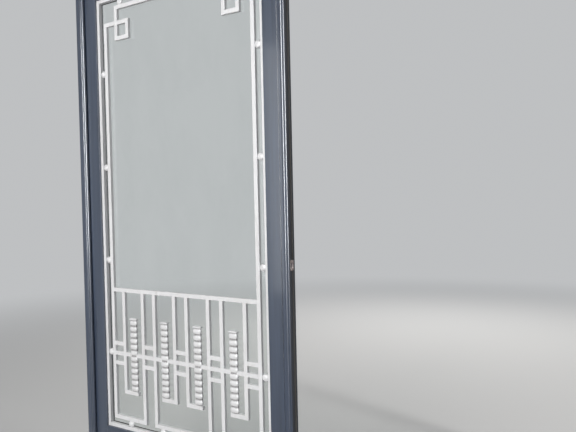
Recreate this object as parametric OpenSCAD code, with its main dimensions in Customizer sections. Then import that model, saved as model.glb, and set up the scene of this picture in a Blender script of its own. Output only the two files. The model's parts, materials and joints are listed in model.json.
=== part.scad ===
// Pair of glazed entrance doors in their painted frame, with a metal grille in front of each pane.
// X runs along the doors from the left jamb, Y runs into the building, Z is up.
// The origin is on the wall face of the left jamb, at floor level, half way through the frame.
// The left leaf is shut and the right leaf stands open into the building.

/* [Leaves] */
// Width of each leaf, from its hinge edge to its meeting edge
leaf_w = 1001; // [940:1:1160]
// Height of each leaf
leaf_h = 2137; // [1960:1:2400]
// Thickness of the stiles and rails
leaf_t = 36; // [34:1:50]
// Width of the hinge stile
hinge_stile_w = 76; // [64:1:110]
// Width of the flat part of the meeting stile
meeting_stile_w = 58; // [45:1:90]
// Width of the beaded moulding on the meeting edge
edge_w = 31; // [28:1:45]
// Height of the top rail
top_rail_h = 92; // [70:1:140]
// Height of the bottom rail
bottom_rail_h = 252; // [180:1:320]
// Angle at which the right leaf stands open
rest_open = 90; // [0:1:90]

/* [Running gaps] */
// Gap between a leaf and its jamb
side_gap = 6; // [5:0.5:9]
// Gap between a leaf and the head
head_gap = 6; // [5:0.5:9]
// Gap between a leaf and the threshold
floor_gap = 6; // [5:0.5:12]
// Gap between the two meeting edges
meeting_gap = 8; // [8:0.5:12]
// Gap between the outer face of a leaf and the back of the stop moulding
stop_gap = 5; // [5:0.5:8]

/* [Frame] */
// Thickness of the jambs and the head beside the leaves
jamb_t = 32; // [26:1:50]
// Depth of the frame through the wall
jamb_d = 100; // [80:1:160]
// Thickness of the jambs and the head behind the leaves
lining_t = 20; // [12:1:24]
// Height of the threshold
sill_h = 12; // [8:1:20]
// Width of the bevel along each side of the threshold
sill_bevel = 22; // [10:1:30]
// Height of the upright edge under each bevel
sill_lip = 2; // [1:0.5:4]
// Width of the beaded stop moulding
stop_w = 33; // [28:1:45]
// Distance that the stop moulding stands in front of the frame
stop_d = 10; // [9:1:16]
// Overlap of the stop moulding over the edge of a leaf
stop_lap = 12; // [8:1:16]

/* [Glazing] */
// Thickness of the glass
glass_t = 5; // [4:0.5:7]
// Clearance round the glass
glass_clear = 0.3; // [0.2:0.1:1]
// Width of the wooden bead that holds the glass from inside
bead_w = 13; // [9:1:20]
// Width of the bead's inner step, as a share of the bead
bead_step = 0.6; // [0.4:0.05:0.8]

/* [Grille] */
// Width of the grille bars, seen from the front
bar_w = 16; // [12:0.5:20]
// Depth of the grille bars
bar_d = 12; // [8:0.5:13]
// Distance of the grille bars behind the outer face of the leaf
bar_setback = 9; // [7:0.5:11]
// Width of the border bars, seen from the front
border_w = 14; // [9:0.5:18]
// Gap between the border and the bars inside it
border_gap = 25; // [20:1:30]
// Distance that the border stands in front of the bars
border_out = 1; // [0:0.5:3]
// Distance between the centre lines of two paired bars
pair_pitch = 63; // [52:1:72]
// Diameter of the flattened balls that space the bars from the border
spacer_d = 28; // [26:0.5:32]
// Thickness of the flattened balls
spacer_t = 17; // [14:0.5:18]
// Distance between the spacers on one side
spacer_pitch = 389; // [300:1:440]

/* [Grille panel] */
// Height of the bars under the columns, above the border
foot_z = 145; // [110:1:170]
// Height of the middle rail above the border
middle_z = 303; // [260:1:330]
// Distance of the short bars above and below the middle rail
short_step = 41; // [34:1:48]
// Height of the upper rail above the border
upper_z = 569; // [500:1:700]
// Width of the ribbed columns
column_w = 38; // [28:1:50]
// Distance that the ribbed columns stand in front of the bars
column_out = 4; // [3.5:0.5:7]
// Height of the top of the columns above the border
column_top_z = 456; // [400:1:480]
// Number of ribs on a column
column_ribs = 12; // [6:1:14]
// Depth of the grooves between the ribs
rib_depth = 3.4; // [1:0.1:3.4]
// Height of the cap on a column
cap_h = 7; // [4:0.5:12]
// Distance that the cap stands out beyond the column, in front and on each side
cap_out = 1; // [0.5:0.5:5]

/* [Hinges] */
// Height of each hinge
hinge_h = 114; // [90:1:140]
// Number of hinges on each leaf
hinge_count = 3; // [2:1:4]
// Distance from the end of the leaf to the nearest hinge
hinge_inset = 180; // [120:1:260]
// Thickness of the hinge plates
plate_t = 3; // [2:0.5:4]
// Depth of the hinge plates in the edge of the leaf
plate_d = 30; // [22:1:34]
// Outer radius of the hinge knuckles
knuckle_r = 6; // [5:0.5:7]
// Radius of the hinge pin
pin_r = 3; // [2.5:0.5:3.5]
// Clearance round the hinge pin
pin_clear = 0.08; // [0.02:0.02:0.1]
// Distance from each end of the hinge pin to the end of the knuckles
pin_inset = 1; // [0.5:0.5:3]
// Gap between two knuckles
knuckle_gap = 0.4; // [0.2:0.1:0.8]
// Distance of the hinge pin behind the inner face of the leaf
pin_out = 8; // [7.5:0.5:10]

/* [Lock] */
// Height of the lock above the floor
lock_z = 988; // [900:1:1100]
// Height of the strike plate
strike_h = 36; // [30:1:70]
// Height of the lock's face plate
lock_face_h = 150; // [110:1:200]
// Width of the strike plate and the face plate
lock_face_w = 20; // [16:1:24]
// Thickness of the strike plate and the face plate
lock_face_t = 2.5; // [2:0.5:4]
// Radius of the door knobs
knob_r = 26; // [24:0.5:30]
// Distance that the knobs stand out from the leaf
knob_out = 62; // [50:1:70]
// Thickness of a knob's head
knob_t = 24; // [18:1:24]
// Radius of the rose under a knob
rose_r = 28; // [22:0.5:32]
// Thickness of the rose under a knob
rose_t = 4; // [2:0.5:8]
// Radius of a knob's neck
neck_r = 10.5; // [8:0.5:14]
// Distance that the drawn-back latch stands out of its plate
latch_out = 0.8; // [0.2:0.1:1.5]

/* [Hidden] */
$fn = 48;
// How far a cut runs past the face that it opens, and a knuckle's web runs into its plate
overcut = 1;
// How far the two steps of the glazing bead run into each other
step_lap = 0.01;

front_y = -jamb_d / 2;
leaf_y = front_y + stop_gap;
back_y = leaf_y + leaf_t;
leaf_x = jamb_t + side_gap;
frame_w = 2 * (leaf_x + leaf_w) + meeting_gap;
leaf_z = sill_h + floor_gap;
head_z = leaf_z + leaf_h + head_gap;
frame_h = head_z + jamb_t;

stiles_w = hinge_stile_w + meeting_stile_w + edge_w;
open_w = leaf_w - stiles_w;
open_h = leaf_h - top_rail_h - bottom_rail_h;
open_x = leaf_x + hinge_stile_w;
open_z = leaf_z + bottom_rail_h;
meet_x = open_x + open_w;
stop_x = leaf_x + stop_lap;
stop_z = leaf_z + leaf_h - stop_lap;
edge_x = meet_x + meeting_stile_w;
leaf_end = leaf_x + leaf_w;

bar_y = leaf_y + bar_setback;
border_y = bar_y - border_out;
spacer_y = bar_y + bar_d / 2;
glass_y = spacer_y + spacer_t / 2 + glass_clear;
glass_back_y = glass_y + glass_t;

inner_z = open_z + border_w;
inner_top = open_z + open_h - border_w;
first_bar = open_x + border_w + border_gap + bar_w / 2;
last_bar = open_x + open_w - border_w - border_gap - bar_w / 2;
column_t = bar_d + column_out;
wide_pitch = (last_bar - first_bar - 5 * pair_pitch) / 4;
bar_x = [
    for (i = [0 : 9]) first_bar + ceil(i / 2) * pair_pitch + floor(i / 2) * wide_pitch
];
loop_z = inner_z + border_gap + bar_w / 2;
rail_b = inner_z + middle_z;
rail_a = inner_z + upper_z;
foot = inner_z + foot_z;
top_bar_z = inner_top - border_gap - bar_w / 2;

pin_x = jamb_t + side_gap / 2;
pin_y = back_y + pin_out;
right_pin_x = frame_w - pin_x;
knuckles = 5;
hinge_step = hinge_h / knuckles;
hinge_span = leaf_h - 2 * hinge_inset - hinge_h;
hinge_z = [
    for (i = [0 : hinge_count - 1])
        leaf_z + hinge_inset + i * hinge_span / (hinge_count - 1)
];

navy = [0.19, 0.24, 0.31];
silver = [0.86, 0.86, 0.88];
brass = [0.66, 0.47, 0.25];
steel = [0.55, 0.56, 0.58];
pane = [0.75, 0.82, 0.84, 0.35];

// Puts a piece of the shut left leaf on the right leaf, which stands open about its own pin
module on_right_leaf() {
    translate([right_pin_x, pin_y, 0])
        rotate([0, 0, -rest_open])
            translate([-right_pin_x, -pin_y, 0])
                opposite() children();
}

// Mirrors a piece of the left side of the frame to the right side
module opposite() {
    translate([frame_w, 0, 0]) mirror([1, 0, 0]) children();
}

// A box given by its lowest and its highest corner
module block(low, high) {
    translate(low) cube(high - low);
}

// Section of the jambs and the head beside the leaf, seen along the member
module rebate_section() {
    translate([0, front_y]) square([jamb_t, stop_gap + leaf_t]);
}

// Section of the thinner lining that the jambs and the head carry behind the leaf
module lining_section() {
    translate([0, front_y]) square([lining_t, jamb_d]);
}

// Section of the beaded mouldings: a sunk flat, a round bead, a quirk and a rounded edge.
// It is w wide along X from the sunk flat to the rounded edge, and d deep behind its face at y = 0.
module beaded_section(w, d) {
    bead_r = w * 0.19;
    edge_r = w * 0.22;
    bead_x = w * 0.47;
    sunk = w * 0.07;
    intersection() {
        square([w, d]);
        union() {
            translate([0, sunk]) square([bead_x, d]);
            translate([bead_x, bead_r]) circle(r = bead_r);
            translate([bead_x, bead_r]) square([w - bead_x - edge_r, d]);
            translate([w - edge_r, edge_r]) circle(r = edge_r);
            translate([w - 2 * edge_r, edge_r]) square([2 * edge_r, d]);
        }
    }
}

// One jamb. Its rebate ends under the head, and its lining ends under the head's thinner lining.
module jamb() {
    linear_extrude(head_z) {
        rebate_section();
        lining_section();
    }
    block([0, back_y, 0], [lining_t, -front_y, frame_h - lining_t]);
}

// The head lies on both jambs, with the same section turned over
module head() {
    color(navy)
        translate([0, 0, frame_h])
            rotate([0, 90, 0])
                linear_extrude(frame_w) {
                    rebate_section();
                    lining_section();
                }
}

// The threshold is a low saddle with a bevel along each side
module threshold() {
    half_d = jamb_d / 2;
    color(steel)
        translate([jamb_t, 0, 0])
            rotate([90, 0, 90])
                linear_extrude(frame_w - 2 * jamb_t)
                    polygon([
                        [-half_d, 0],
                        [half_d, 0],
                        [half_d, sill_lip],
                        [half_d - sill_bevel, sill_h],
                        [sill_bevel - half_d, sill_h],
                        [-half_d, sill_lip]
                    ]);
}

// Section of the stop moulding with its rounded edge towards the opening, over a leaf that
// stands gap away from the jamb or the head
module stop_section(gap) {
    translate([jamb_t + gap + stop_lap - stop_w, front_y - stop_d]) beaded_section(stop_w, stop_d);
}

// The waste on the upper (side = 1) or lower (side = -1) side of the mitre at the left corner
module mitre_waste(side) {
    reach = 3 * stop_w;
    translate([stop_x, front_y, stop_z])
        rotate([0, 45, 0])
            translate([0, 0, side * reach]) cube(2 * reach, center = true);
}

// One upright stop moulding, mitred at its top
module side_stop() {
    color(navy) difference() {
        linear_extrude(stop_z + stop_w) stop_section(side_gap);
        mitre_waste(1);
    }
}

// The stop moulding under the head, mitred at both ends
module head_stop() {
    color(navy) difference() {
        translate([stop_x - stop_w, 0, frame_h])
            rotate([0, 90, 0])
                linear_extrude(frame_w - 2 * (stop_x - stop_w)) stop_section(head_gap);
        mitre_waste(-1);
        opposite() mitre_waste(-1);
    }
}

// The recess that a hinge plate lies in, reach deep into the edge from the face at x
module plate_recess(x, reach) {
    for (z = hinge_z)
        block(
            [min(x, x + reach), back_y - plate_d, z],
            [max(x, x + reach), back_y + overcut, z + hinge_h]
        );
}

// Hinge plates and their knuckles. The plate lies from x to x + reach, with its knuckles on the pin.
// The knuckles are every second one, starting at first.
module hinge_half(x, reach, first, bored) {
    low = min(x, x + reach);
    high = max(x, x + reach);
    color(steel) for (z = hinge_z) {
        block([low, back_y - plate_d, z], [high, back_y, z + hinge_h]);
        for (i = [first : 2 : knuckles - 1])
            translate([0, 0, z + i * hinge_step + knuckle_gap / 2])
                difference() {
                    union() {
                        block([low, back_y - overcut, 0], [high, pin_y, hinge_step - knuckle_gap]);
                        translate([pin_x, pin_y, 0])
                            cylinder(r = knuckle_r, h = hinge_step - knuckle_gap);
                    }
                    if (bored)
                        translate([pin_x, pin_y, -overcut])
                            cylinder(r = pin_r + pin_clear, h = hinge_step + overcut);
                }
    }
}

// The frame's half of the hinges carries the pins
module frame_hinges() {
    hinge_half(jamb_t, -plate_t, 0, false);
    color(steel) for (z = hinge_z)
        translate([pin_x, pin_y, z + pin_inset]) cylinder(r = pin_r, h = hinge_h - 2 * pin_inset);
}

// The leaf's half of the hinges turns on the pins
module leaf_hinges() {
    hinge_half(leaf_x, plate_t, 1, true);
}

// The jamb with the recesses for its hinge plates
module hung_jamb() {
    color(navy) difference() {
        jamb();
        plate_recess(jamb_t, -plate_t);
    }
}

module hinge_stile() {
    color(navy) difference() {
        block([leaf_x, leaf_y, leaf_z], [open_x, back_y, leaf_z + leaf_h]);
        plate_recess(leaf_x, plate_t);
    }
}

module meeting_stile() {
    color(navy) block([meet_x, leaf_y, leaf_z], [edge_x, back_y, leaf_z + leaf_h]);
}

// The beaded moulding that makes the meeting edge, with a recess for the plate in it
module edge_moulding(plate_h) {
    color(navy) difference() {
        translate([edge_x, leaf_y, leaf_z]) linear_extrude(leaf_h) beaded_section(edge_w, leaf_t);
        edge_plate(plate_h);
    }
}

// The plate let into the meeting edge at the height of the lock
module edge_plate(plate_h) {
    mid_y = leaf_y + leaf_t / 2;
    block(
        [leaf_end - lock_face_t, mid_y - lock_face_w / 2, lock_z - plate_h / 2],
        [leaf_end, mid_y + lock_face_w / 2, lock_z + plate_h / 2]
    );
}

module top_rail() {
    color(navy) block([open_x, leaf_y, open_z + open_h], [meet_x, back_y, leaf_z + leaf_h]);
}

module bottom_rail() {
    color(navy) block([open_x, leaf_y, leaf_z], [meet_x, back_y, open_z]);
}

module glass() {
    color(pane) block(
        [open_x + glass_clear, glass_y, open_z + glass_clear],
        [meet_x - glass_clear, glass_back_y, open_z + open_h - glass_clear]
    );
}

// A rectangular ring in the opening of the leaf, w wide, from y = low to y = high
module opening_ring(w, low, high) {
    difference() {
        block([open_x, low, open_z], [meet_x, high, open_z + open_h]);
        block(
            [open_x + w, low - overcut, open_z + w],
            [meet_x - w, high + overcut, open_z + open_h - w]
        );
    }
}

// The bead behind the glass has a low step towards the pane
module glazing_bead() {
    color(navy) {
        opening_ring(bead_w, glass_back_y, (glass_back_y + back_y) / 2);
        opening_ring(bead_w * bead_step, (glass_back_y + back_y) / 2 - step_lap, back_y);
    }
}

// The border bars lie against the stiles and rails and hold the glass from outside
module grille_border() {
    color(silver) opening_ring(border_w, border_y, glass_y - glass_clear);
}

// An upright bar of the grille, between two centre lines
module upright(x, z1, z2) {
    block([x - bar_w / 2, bar_y, z1 - bar_w / 2], [x + bar_w / 2, bar_y + bar_d, z2 + bar_w / 2]);
}

// A level bar of the grille, between two centre lines
module level(z, x1, x2) {
    block([x1 - bar_w / 2, bar_y, z - bar_w / 2], [x2 + bar_w / 2, bar_y + bar_d, z + bar_w / 2]);
}

// A level bar that fills the space between the faces of two uprights
module rung(z, x1, x2) {
    level(z, x1 + bar_w, x2 - bar_w);
}

// The corner of the fret: the outer upright turns in at its top and carries a square ring
module fret_corner(x, turn) {
    ring_x1 = x + turn * pair_pitch;
    ring_x2 = x + turn * 2 * pair_pitch;
    upright(x, loop_z, top_bar_z - pair_pitch);
    level(top_bar_z - pair_pitch, min(x, ring_x2), max(x, ring_x2));
    level(top_bar_z - 2 * pair_pitch, min(ring_x1, ring_x2), max(ring_x1, ring_x2));
    upright(ring_x1, top_bar_z - 2 * pair_pitch, top_bar_z);
    upright(ring_x2, top_bar_z - 2 * pair_pitch, top_bar_z - pair_pitch);
}

module grille_fret() {
    color(silver) {
        fret_corner(bar_x[0], 1);
        fret_corner(bar_x[9], -1);
        level(top_bar_z, bar_x[0] + pair_pitch, bar_x[9] - pair_pitch);
    }
}

// The lower panel: two long rails, eight uprights hung from the upper one, short bars between
// the pairs, feet under the columns and loops that join every second upright at the bottom
module grille_lattice() {
    color(silver) {
        rung(rail_a, bar_x[0], bar_x[9]);
        rung(rail_b, bar_x[0], bar_x[9]);
        for (i = [0 : 2 : 8])
            for (side = [-1, 1])
                rung(rail_b + side * short_step, bar_x[i], bar_x[i + 1]);
        for (i = [1, 4, 5, 8])
            upright(bar_x[i], foot, rail_a);
        for (i = [2, 3, 6, 7])
            upright(bar_x[i], loop_z, rail_a);
        for (i = [1, 5])
            level(foot, bar_x[i], column_x(i) + column_w / 2 - bar_w / 2);
        for (i = [4, 8])
            level(foot, column_x(i - 1) - column_w / 2 + bar_w / 2, bar_x[i]);
        level(loop_z, bar_x[0] + bar_w, bar_x[2]);
        level(loop_z, bar_x[3], bar_x[6]);
        level(loop_z, bar_x[7], bar_x[9] - bar_w);
    }
}

// The middle of the wide bay to the right of upright i
function column_x(i) = (bar_x[i] + bar_x[i + 1]) / 2;

// Wave of one rib: 0 in the groove and 1 on the crown, from p = 0 to p = 1
function rib_wave(p) = sqrt(sin(180 * p));

// Edge points of a ribbed strip that runs up from z = 0, half wide at its crowns
function ribbed_edge(half, h, side) = [
    for (r = [0 : column_ribs - 1])
        for (p = [0.02, 0.18, 0.5, 0.82, 0.98])
            [side * (half - rib_depth + rib_depth * rib_wave(p)), (r + p) * h / column_ribs]
];

// A ribbed column: its ribs swell to the front and to both sides, and its back is flat
module ribbed_column(h) {
    sides = concat(
        [[-column_w / 2 + rib_depth, 0], [column_w / 2 - rib_depth, 0]],
        ribbed_edge(column_w / 2, h, 1),
        [[column_w / 2 - rib_depth, h], [-column_w / 2 + rib_depth, h]],
        [for (i = [5 * column_ribs - 1 : -1 : 0]) ribbed_edge(column_w / 2, h, -1)[i]]
    );
    face = concat(
        [[0, 0]],
        ribbed_edge(column_t, h, -1),
        [[0, h]]
    );
    intersection() {
        rotate([90, 0, 0]) linear_extrude(column_t) polygon(sides);
        translate([-column_w / 2, 0, 0])
            rotate([90, 0, 90]) linear_extrude(column_w) polygon(face);
    }
}

// Four columns stand on the feet, each notched over the middle rail and closed by a thin cap
module grille_columns() {
    low = foot + bar_w / 2;
    high = inner_z + column_top_z;
    cap_w = column_w + 2 * cap_out;
    color(silver) for (i = [1, 3, 5, 7])
        translate([column_x(i), bar_y, low])
            difference() {
                union() {
                    translate([0, bar_d, 0]) ribbed_column(high - low - cap_h / 2);
                    translate([-cap_w / 2, -column_out - cap_out, high - low - cap_h])
                        cube([cap_w, column_t + cap_out, cap_h]);
                }
                translate([-column_w, 0, rail_b - bar_w / 2 - low])
                    cube([2 * column_w, 2 * bar_d, bar_w]);
            }
}

// A flattened ball that fills the gap between a bar and the border
module spacer() {
    rim = [for (a = [-90 : 30 : 90]) [spacer_d / 2 * cos(a), spacer_t / 2 * sin(a)]];
    intersection() {
        rotate([90, 0, 0]) rotate_extrude() polygon(rim);
        cube([border_gap, spacer_d, spacer_d], center = true);
    }
}

// Spacers beside the outer uprights, from the middle rail up, and above and below the grille
module grille_spacers() {
    side_x = bar_w / 2 + border_gap / 2;
    row_x = [
        (bar_x[0] + bar_x[2]) / 2,
        bar_x[3] + pair_pitch / 2,
        bar_x[6] - pair_pitch / 2,
        (bar_x[7] + bar_x[9]) / 2
    ];
    color(silver) {
        for (z = [rail_b : spacer_pitch : top_bar_z - 2 * pair_pitch])
            for (x = [bar_x[0] - side_x, bar_x[9] + side_x])
                translate([x, spacer_y, z]) spacer();
        for (x = row_x)
            for (z = [inner_z + border_gap / 2, inner_top - border_gap / 2])
                translate([x, spacer_y, z]) rotate([0, 90, 0]) spacer();
    }
}

// The strike plate in the meeting edge of the left leaf, with the hole for the latch
module strike_plate() {
    mid_y = leaf_y + leaf_t / 2;
    color(brass) difference() {
        edge_plate(strike_h);
        block(
            [leaf_end - lock_face_t - overcut, mid_y - lock_face_w / 4, lock_z - strike_h / 4],
            [leaf_end + overcut, mid_y + lock_face_w / 4, lock_z + strike_h / 4]
        );
    }
}

// The lock's face plate and its latch, drawn back as when the leaf is swung
module lock_face() {
    mid_y = leaf_y + leaf_t / 2;
    color(brass) {
        edge_plate(lock_face_h);
        block(
            [leaf_end - lock_face_t, mid_y - lock_face_w / 4, lock_z - strike_h / 4],
            [leaf_end + latch_out, mid_y + lock_face_w / 4, lock_z + strike_h / 4]
        );
    }
}

// Half outline of a knob that stands on its rose: a neck and a flattened ball
module knob_outline() {
    square([rose_r, rose_t]);
    square([neck_r, knob_out - knob_t / 2]);
    translate([0, knob_out - knob_t]) square([knob_r - knob_t / 2, knob_t]);
    translate([knob_r - knob_t / 2, knob_out - knob_t / 2]) circle(r = knob_t / 2);
}

// One knob on each face of the meeting stile, at the height of the lock
module knobs() {
    x = (meet_x + edge_x) / 2;
    color(brass) {
        translate([x, leaf_y, lock_z]) rotate([90, 0, 0]) rotate_extrude() knob_outline();
        translate([x, back_y, lock_z]) rotate([-90, 0, 0]) rotate_extrude() knob_outline();
    }
}

hung_jamb();  // left_jamb
opposite() hung_jamb();  // right_jamb
head();
threshold();
side_stop();  // left_stop
opposite() side_stop();  // right_stop
head_stop();
frame_hinges();  // left_frame_hinges
opposite() frame_hinges();  // right_frame_hinges
hinge_stile();  // left_hinge_stile
meeting_stile();  // left_meeting_stile
edge_moulding(strike_h);  // left_edge_moulding
top_rail();  // left_top_rail
bottom_rail();  // left_bottom_rail
glass();  // left_glass
glazing_bead();  // left_glazing_bead
grille_border();  // left_grille_border
grille_fret();  // left_grille_fret
grille_lattice();  // left_grille_lattice
grille_columns();  // left_grille_columns
grille_spacers();  // left_grille_spacers
leaf_hinges();  // left_leaf_hinges
strike_plate();  // left_strike_plate
on_right_leaf() hinge_stile();  // right_hinge_stile
on_right_leaf() meeting_stile();  // right_meeting_stile
on_right_leaf() edge_moulding(lock_face_h);  // right_edge_moulding
on_right_leaf() top_rail();  // right_top_rail
on_right_leaf() bottom_rail();  // right_bottom_rail
on_right_leaf() glass();  // right_glass
on_right_leaf() glazing_bead();  // right_glazing_bead
on_right_leaf() grille_border();  // right_grille_border
on_right_leaf() grille_fret();  // right_grille_fret
on_right_leaf() grille_lattice();  // right_grille_lattice
on_right_leaf() grille_columns();  // right_grille_columns
on_right_leaf() grille_spacers();  // right_grille_spacers
on_right_leaf() leaf_hinges();  // right_leaf_hinges
on_right_leaf() lock_face();  // right_lock
on_right_leaf() knobs();  // right_knobs
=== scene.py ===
"""Looks of a pair of glazed entrance doors with a metal grille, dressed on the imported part."""
import json

import bpy
import numpy as np
from mathutils import Matrix, Vector


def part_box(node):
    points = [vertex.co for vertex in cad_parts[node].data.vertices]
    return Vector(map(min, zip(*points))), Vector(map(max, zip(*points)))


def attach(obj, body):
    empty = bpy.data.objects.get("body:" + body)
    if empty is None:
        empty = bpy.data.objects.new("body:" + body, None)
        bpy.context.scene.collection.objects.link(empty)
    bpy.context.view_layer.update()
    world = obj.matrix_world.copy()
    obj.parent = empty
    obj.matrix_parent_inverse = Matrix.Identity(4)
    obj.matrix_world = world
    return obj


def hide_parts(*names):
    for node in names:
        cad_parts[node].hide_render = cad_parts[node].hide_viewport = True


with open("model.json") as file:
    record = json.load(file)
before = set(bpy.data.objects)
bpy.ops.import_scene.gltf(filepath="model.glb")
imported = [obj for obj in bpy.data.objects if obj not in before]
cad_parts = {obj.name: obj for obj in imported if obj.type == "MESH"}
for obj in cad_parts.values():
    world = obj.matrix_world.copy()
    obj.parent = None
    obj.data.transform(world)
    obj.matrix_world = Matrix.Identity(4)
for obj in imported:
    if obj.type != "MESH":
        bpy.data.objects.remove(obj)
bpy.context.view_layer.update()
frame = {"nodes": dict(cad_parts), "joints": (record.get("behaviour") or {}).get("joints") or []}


# THE VIEW
# The eye is outside, in front of the open right half, and looks across the shut left leaf into
# the building. The lens is a plain 35 mm one, at chest height and a touch askew.
camera_place = (2.037, -1.679, 1.203)
turn_left, tip_down, roll = np.radians([31.44, 1.39, -1.25])
lens_mm, film_mm = 35.5, 36
nearest, furthest = 0.05, 200

level = np.cos(tip_down)
ahead = Vector((-np.sin(turn_left) * level, np.cos(turn_left) * level, -np.sin(tip_down)))
level_right = Vector((np.cos(turn_left), np.sin(turn_left), 0))
level_up = level_right.cross(ahead)
right_hand = level_right * np.cos(roll) + level_up * np.sin(roll)
overhead = level_up * np.cos(roll) - level_right * np.sin(roll)
camera_axes = Matrix((right_hand, overhead, -ahead)).transposed().to_4x4()
lens = bpy.data.cameras.new("camera")
lens.lens = lens_mm
lens.sensor_width = film_mm
lens.clip_start = nearest
lens.clip_end = furthest
camera = bpy.data.objects.new("camera", lens)
camera.matrix_world = Matrix.Translation(camera_place) @ camera_axes
bpy.context.scene.collection.objects.link(camera)
bpy.context.scene.camera = camera
bpy.context.scene.view_settings.view_transform = "Standard"


# THE STUDIO
# A pale floor that fades into a pale surround. Three soft lamps light the doors: one in front, one
# behind, and a narrow one at the right. Two upright lamps only draw highlights. Both leave out the
# panes, and the bead lamp leaves out the steel and the aluminium too.
surround = (0.52, 0.53, 0.54)
floor_grey = (0.50, 0.50, 0.50)
floor_half = 30.0
floor_middle = (1.0, 0.4, 0.0)
fade_from, fade_to = 2.2, 7.0
air_tint, air_strength = (0.93, 0.96, 1.0), 0.31


def put(tree, kind, sockets, **settings):
    """Adds a node: settings are its own options, sockets maps a socket's name or number to a
    plain value, which is set on it, or to another node's output, which is linked to it."""
    made = tree.nodes.new(kind)
    for option, value in settings.items():
        setattr(made, option, value)
    for key, value in sockets.items():
        if isinstance(value, bpy.types.NodeSocket):
            tree.links.new(value, made.inputs[key])
        else:
            made.inputs[key].default_value = value
    return made


def seen_directly(tree):
    """1 for a ray from the camera, off a mirror or through glass, and 0 for one that lights."""
    path = put(tree, "ShaderNodeLightPath", {})
    first = put(tree, "ShaderNodeMath", {0: path.outputs["Is Camera Ray"], 1: path.outputs["Is Glossy Ray"]},
                operation="MAXIMUM")
    return put(tree, "ShaderNodeMath", {0: first.outputs[0], 1: path.outputs["Is Transmission Ray"]},
               operation="MAXIMUM").outputs[0]


world = bpy.data.worlds.new("studio")
world.use_nodes = True
air = world.node_tree
air.nodes.clear()
seen = put(air, "ShaderNodeBackground", {"Color": (*surround, 1), "Strength": 1.0})
lit = put(air, "ShaderNodeBackground", {"Color": (*air_tint, 1), "Strength": air_strength})
pick = put(air, "ShaderNodeMixShader", {0: seen_directly(air), 1: lit.outputs[0], 2: seen.outputs[0]})
put(air, "ShaderNodeOutputWorld", {0: pick.outputs[0]})
bpy.context.scene.world = world


def floor_finish():
    """Pale floor near the doors. Further than a few metres from them it shows the surround's colour."""
    made = bpy.data.materials.new("studio_floor")
    made.use_nodes = True
    tree = made.node_tree
    tree.nodes.clear()
    spot = put(tree, "ShaderNodeTexCoord", {}).outputs["Object"]
    away = put(tree, "ShaderNodeVectorMath", {0: spot, 1: floor_middle}, operation="DISTANCE")
    reach = {0: away.outputs["Value"], 1: fade_from, 2: fade_to, 3: 0.0, 4: 1.0}
    fade = put(tree, "ShaderNodeMapRange", reach, interpolation_type="SMOOTHSTEP")
    both = put(tree, "ShaderNodeMath", {0: fade.outputs[0], 1: seen_directly(tree)}, operation="MULTIPLY")
    near = put(tree, "ShaderNodeBsdfDiffuse", {"Color": (*floor_grey, 1)})
    far = put(tree, "ShaderNodeEmission", {"Color": (*surround, 1), "Strength": 1.0})
    mix = put(tree, "ShaderNodeMixShader", {0: both.outputs[0], 1: near.outputs[0], 2: far.outputs[0]})
    put(tree, "ShaderNodeOutputMaterial", {0: mix.outputs[0]})
    return made


floor_mesh = bpy.data.meshes.new("studio_floor")
floor_mesh.from_pydata([(-floor_half, -floor_half, 0), (floor_half, -floor_half, 0),
                        (floor_half, floor_half, 0), (-floor_half, floor_half, 0)], [], [(0, 1, 2, 3)])
floor_mesh.materials.append(floor_finish())
floor = bpy.data.objects.new("studio_floor", floor_mesh)
bpy.context.scene.collection.objects.link(floor)


def leave_out(shaded, *pieces):
    """Adds pieces to the collection shaded, which a lamp leaves out, so none mirrors it as a white slab."""
    for piece in pieces:
        shaded.objects.link(piece)
    for entry in shaded.collection_objects:
        entry.light_linking.link_state = "EXCLUDE"


panes = bpy.data.collections.new("panes")
leave_out(panes, frame["nodes"]["left_glass"], frame["nodes"]["right_glass"])
mirrors = bpy.data.collections.new("panes_steel_and_aluminium")
leave_out(mirrors, frame["nodes"]["left_glass"], frame["nodes"]["right_glass"])


def soft_lamp(name, place, target, size, watts, tint, shaded=None):
    """A rectangular lamp at place that faces target. Without shaded it only lights, and with a
    collection it only draws highlights, on all the glossy surfaces that aren't in it."""
    lamp = bpy.data.lights.new(name, "AREA")
    lamp.shape = "RECTANGLE"
    lamp.size, lamp.size_y = size
    lamp.energy = watts
    lamp.color = tint
    holder = bpy.data.objects.new(name, lamp)
    holder.visible_glossy = shaded is not None
    holder.visible_diffuse = shaded is None
    holder.visible_transmission = False
    holder.light_linking.receiver_collection = shaded
    holder.location = place
    holder.rotation_euler = (Vector(target) - Vector(place)).to_track_quat("-Z", "Y").to_euler()
    bpy.context.scene.collection.objects.link(holder)


soft_lamp("wide_lamp", (0.0, -5.3, 2.5), (0.9, 0.0, 0.7), (3.4, 2.4), 235, (1.0, 0.985, 0.96))
soft_lamp("back_lamp", (0.4, 4.8, 3.2), (1.0, 0.3, 1.0), (3.4, 2.4), 190, (1.0, 0.98, 0.95))
soft_lamp("side_lamp", (5.2, 0.06, 2.2), (2.05, 0.4, 1.0), (0.3, 2.4), 95, (1.0, 0.985, 0.96))
soft_lamp("sheen_lamp", (-1.45, -4.9, 1.5), (0.9, 0.0, 0.9), (1.3, 3.4), 50, (0.95, 0.98, 1.0), panes)
soft_lamp("bead_lamp", (3.1, -3.5, 1.95), (0.9, 0.0, 1.35), (1.0, 2.7), 620, (0.97, 0.985, 1.0), mirrors)


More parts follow.
